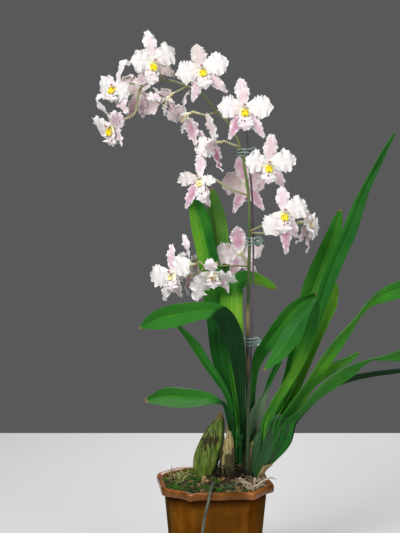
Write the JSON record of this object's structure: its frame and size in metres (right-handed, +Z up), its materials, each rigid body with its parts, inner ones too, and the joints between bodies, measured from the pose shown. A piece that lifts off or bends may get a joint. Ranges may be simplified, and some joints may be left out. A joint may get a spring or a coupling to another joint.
{
  "type": "potted orchid",
  "caption": "Flowering cambria orchid with an arching flower spike on a stake, strap leaves and bulbs, in an eight-sided glazed pot.",
  "frame": {"origin": "middle of the pot's underside", "axes": "+Z up along the pot and the plant, +X to the viewer's right, -Y towards the viewer"},
  "size_m": [0.4371, 0.1522, 0.6887],
  "materials": {
    "glazed_pot": "glossy brown-orange glaze",
    "bark_and_moss": "rough bark chips with moss",
    "bulb_green": "satin ribbed skin, yellow-green with brown patches",
    "dry_husk": "papery tan sheath",
    "leaf_green": "satin mid-green leaf",
    "leaf_light_green": "satin light yellow-green leaf",
    "stem_green": "satin green stem",
    "petal_white": "soft white petal with a pink-lilac flush",
    "crest_yellow": "waxy yellow callus",
    "stake_steel": "dark painted wire",
    "clip_plastic": "clear pale grey-green plastic",
    "root_skin": "matt grey-green root"
  },
  "bodies": {
    "root": {"bloom_01": "petal_white", "bloom_02": "petal_white", "bloom_03": "petal_white", "bloom_04": "petal_white", "bloom_05": "petal_white", "bloom_06": "petal_white", "bloom_07": "petal_white", "bloom_08": "petal_white", "bloom_09": "petal_white", "bloom_10": "petal_white", "bloom_11": "petal_white", "bloom_12": "petal_white", "bloom_13": "petal_white", "bloom_14": "petal_white", "bloom_15": "petal_white", "bloom_16": "petal_white", "bloom_17": "petal_white", "bloom_18": "petal_white", "bulb_dry": "dry_husk", "bulb_left": "bulb_green", "bulb_right": "leaf_green", "clip_low": "clip_plastic", "clip_middle": "clip_plastic", "clip_top": "clip_plastic", "crest_01": "crest_yellow", "crest_02": "crest_yellow", "crest_03": "crest_yellow", "crest_04": "crest_yellow", "crest_08": "crest_yellow", "crest_09": "crest_yellow", "crest_10": "crest_yellow", "crest_12": "crest_yellow", "crest_13": "crest_yellow", "crest_16": "crest_yellow", "crest_17": "crest_yellow", "flower_spike": "stem_green", "leaf_arch_left": "leaf_green", "leaf_fold_right": "leaf_green", "leaf_low_left": "leaf_green", "leaf_right_behind": "leaf_green", "leaf_right_dark": "leaf_green", "leaf_right_grey": "leaf_green", "leaf_right_hanging": "leaf_light_green", "leaf_right_inner": "leaf_green", "leaf_right_light": "leaf_light_green", "leaf_right_lower": "leaf_green", "leaf_right_second": "leaf_green", "leaf_right_short": "leaf_green", "leaf_right_tallest": "leaf_green", "leaf_right_upper": "leaf_green", "leaf_tall_back": "leaf_green", "leaf_tall_left": "leaf_green", "leaf_thin_left": "leaf_green", "leaf_young": "leaf_light_green", "medium": "bark_and_moss", "pot": "glazed_pot", "root_over_rim": "root_skin", "root_right": "root_skin", "shoot_left": "leaf_green", "stake": "stake_steel"}
  },
  "joints": []
}
